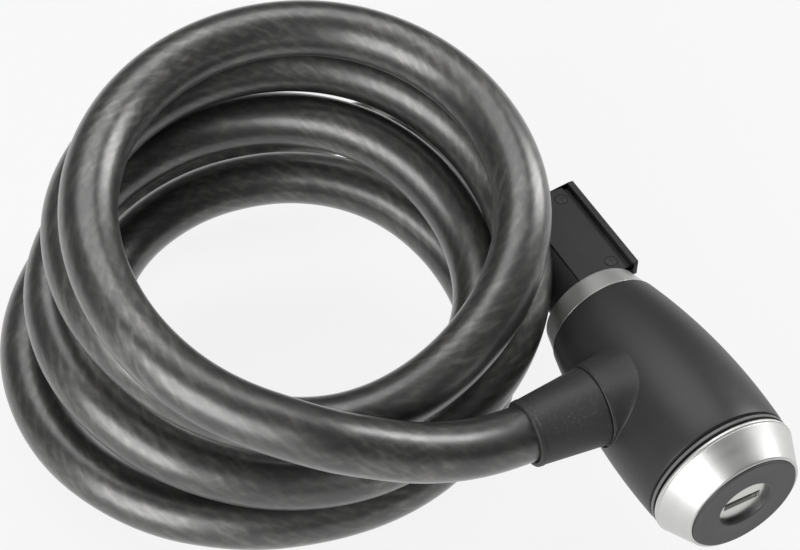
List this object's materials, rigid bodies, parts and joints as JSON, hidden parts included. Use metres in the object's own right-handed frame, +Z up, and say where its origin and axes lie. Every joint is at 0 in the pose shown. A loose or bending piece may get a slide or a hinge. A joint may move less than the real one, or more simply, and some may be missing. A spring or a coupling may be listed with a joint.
{
  "type": "cable lock",
  "caption": "Keyed cable lock: barrel-shaped head, thick jacketed steel cable wound in loose turns, and a plug with a mounting shoe that locks into the head.",
  "frame": {"origin": "centre of the key hole in the head's front face", "axes": "+Y along the barrel from the key end to the plug, +Z up from the table, fixed cable sleeve on the -X side"},
  "size_m": [0.1365, 0.1562, 0.0773],
  "materials": {
    "cover_plastic": "satin moulded",
    "ring_metal": "brushed",
    "face_coating": "satin",
    "jacket": "gloss, smoke tinted",
    "cast_alloy": "as cast",
    "cylinder_brass": "turned",
    "bright_plate": "bright plated",
    "hard_steel": "ground",
    "strand_steel": "stranded wire"
  },
  "bodies": {
    "head": {"barrel_cover": "cover_plastic", "front_ring": "ring_metal", "face_cap": "face_coating", "rear_ring": "ring_metal", "lock_housing": "cast_alloy", "cylinder_shell": "cylinder_brass", "cylinder_pin": "hard_steel", "cable_sleeve": "cover_plastic", "fixed_ferrule": "hard_steel", "ferrule_pin": "hard_steel", "fixed_core": "strand_steel", "cable_coil": "jacket"},
    "key_plug": {"key_plug": "bright_plate", "sidebar": "hard_steel", "disc_spacers": "cylinder_brass", "drive_cam": "hard_steel", "shutter_pin": "hard_steel", "code_disc_1": "cylinder_brass", "code_disc_2": "cylinder_brass", "code_disc_3": "cylinder_brass", "code_disc_4": "cylinder_brass", "code_disc_5": "cylinder_brass", "code_disc_6": "cylinder_brass", "code_disc_7": "cylinder_brass"},
    "shutter": {"dust_shutter": "bright_plate"},
    "latch": {"latch": "hard_steel"},
    "plug": {"locking_pin": "hard_steel", "plug_sleeve": "cover_plastic", "mounting_shoe": "cover_plastic", "shoe_screws": "hard_steel", "free_core": "strand_steel", "cable_tail": "jacket"}
  },
  "joints": [
    {"name": "key_turn", "type": "hinge", "parent": "head", "child": "key_plug", "pos_m": [0, 0.0012, 0], "axis": [0, 1, 0], "range_deg": [0, 90]},
    {"name": "latch_lift", "type": "slide", "parent": "head", "child": "latch", "axis": [0, 0, 1], "range_m": [0, 0.002]},
    {"name": "plug_slide", "type": "slide", "parent": "head", "child": "plug", "axis": [0, 1, 0], "range_m": [0, 0.04], "deforming": ["cable_tail"]},
    {"name": "shutter_flap", "type": "hinge", "parent": "key_plug", "child": "shutter", "pos_m": [0, 0.00285, -0.0019], "axis": [-1, 0, 0], "range_deg": [0, 80], "stiffness_Nm_per_rad": 0.0005}
  ],
  "couplings": [
    {"joint": "key_turn", "follows": "latch_lift", "rad_per_m": 785.39}
  ]
}
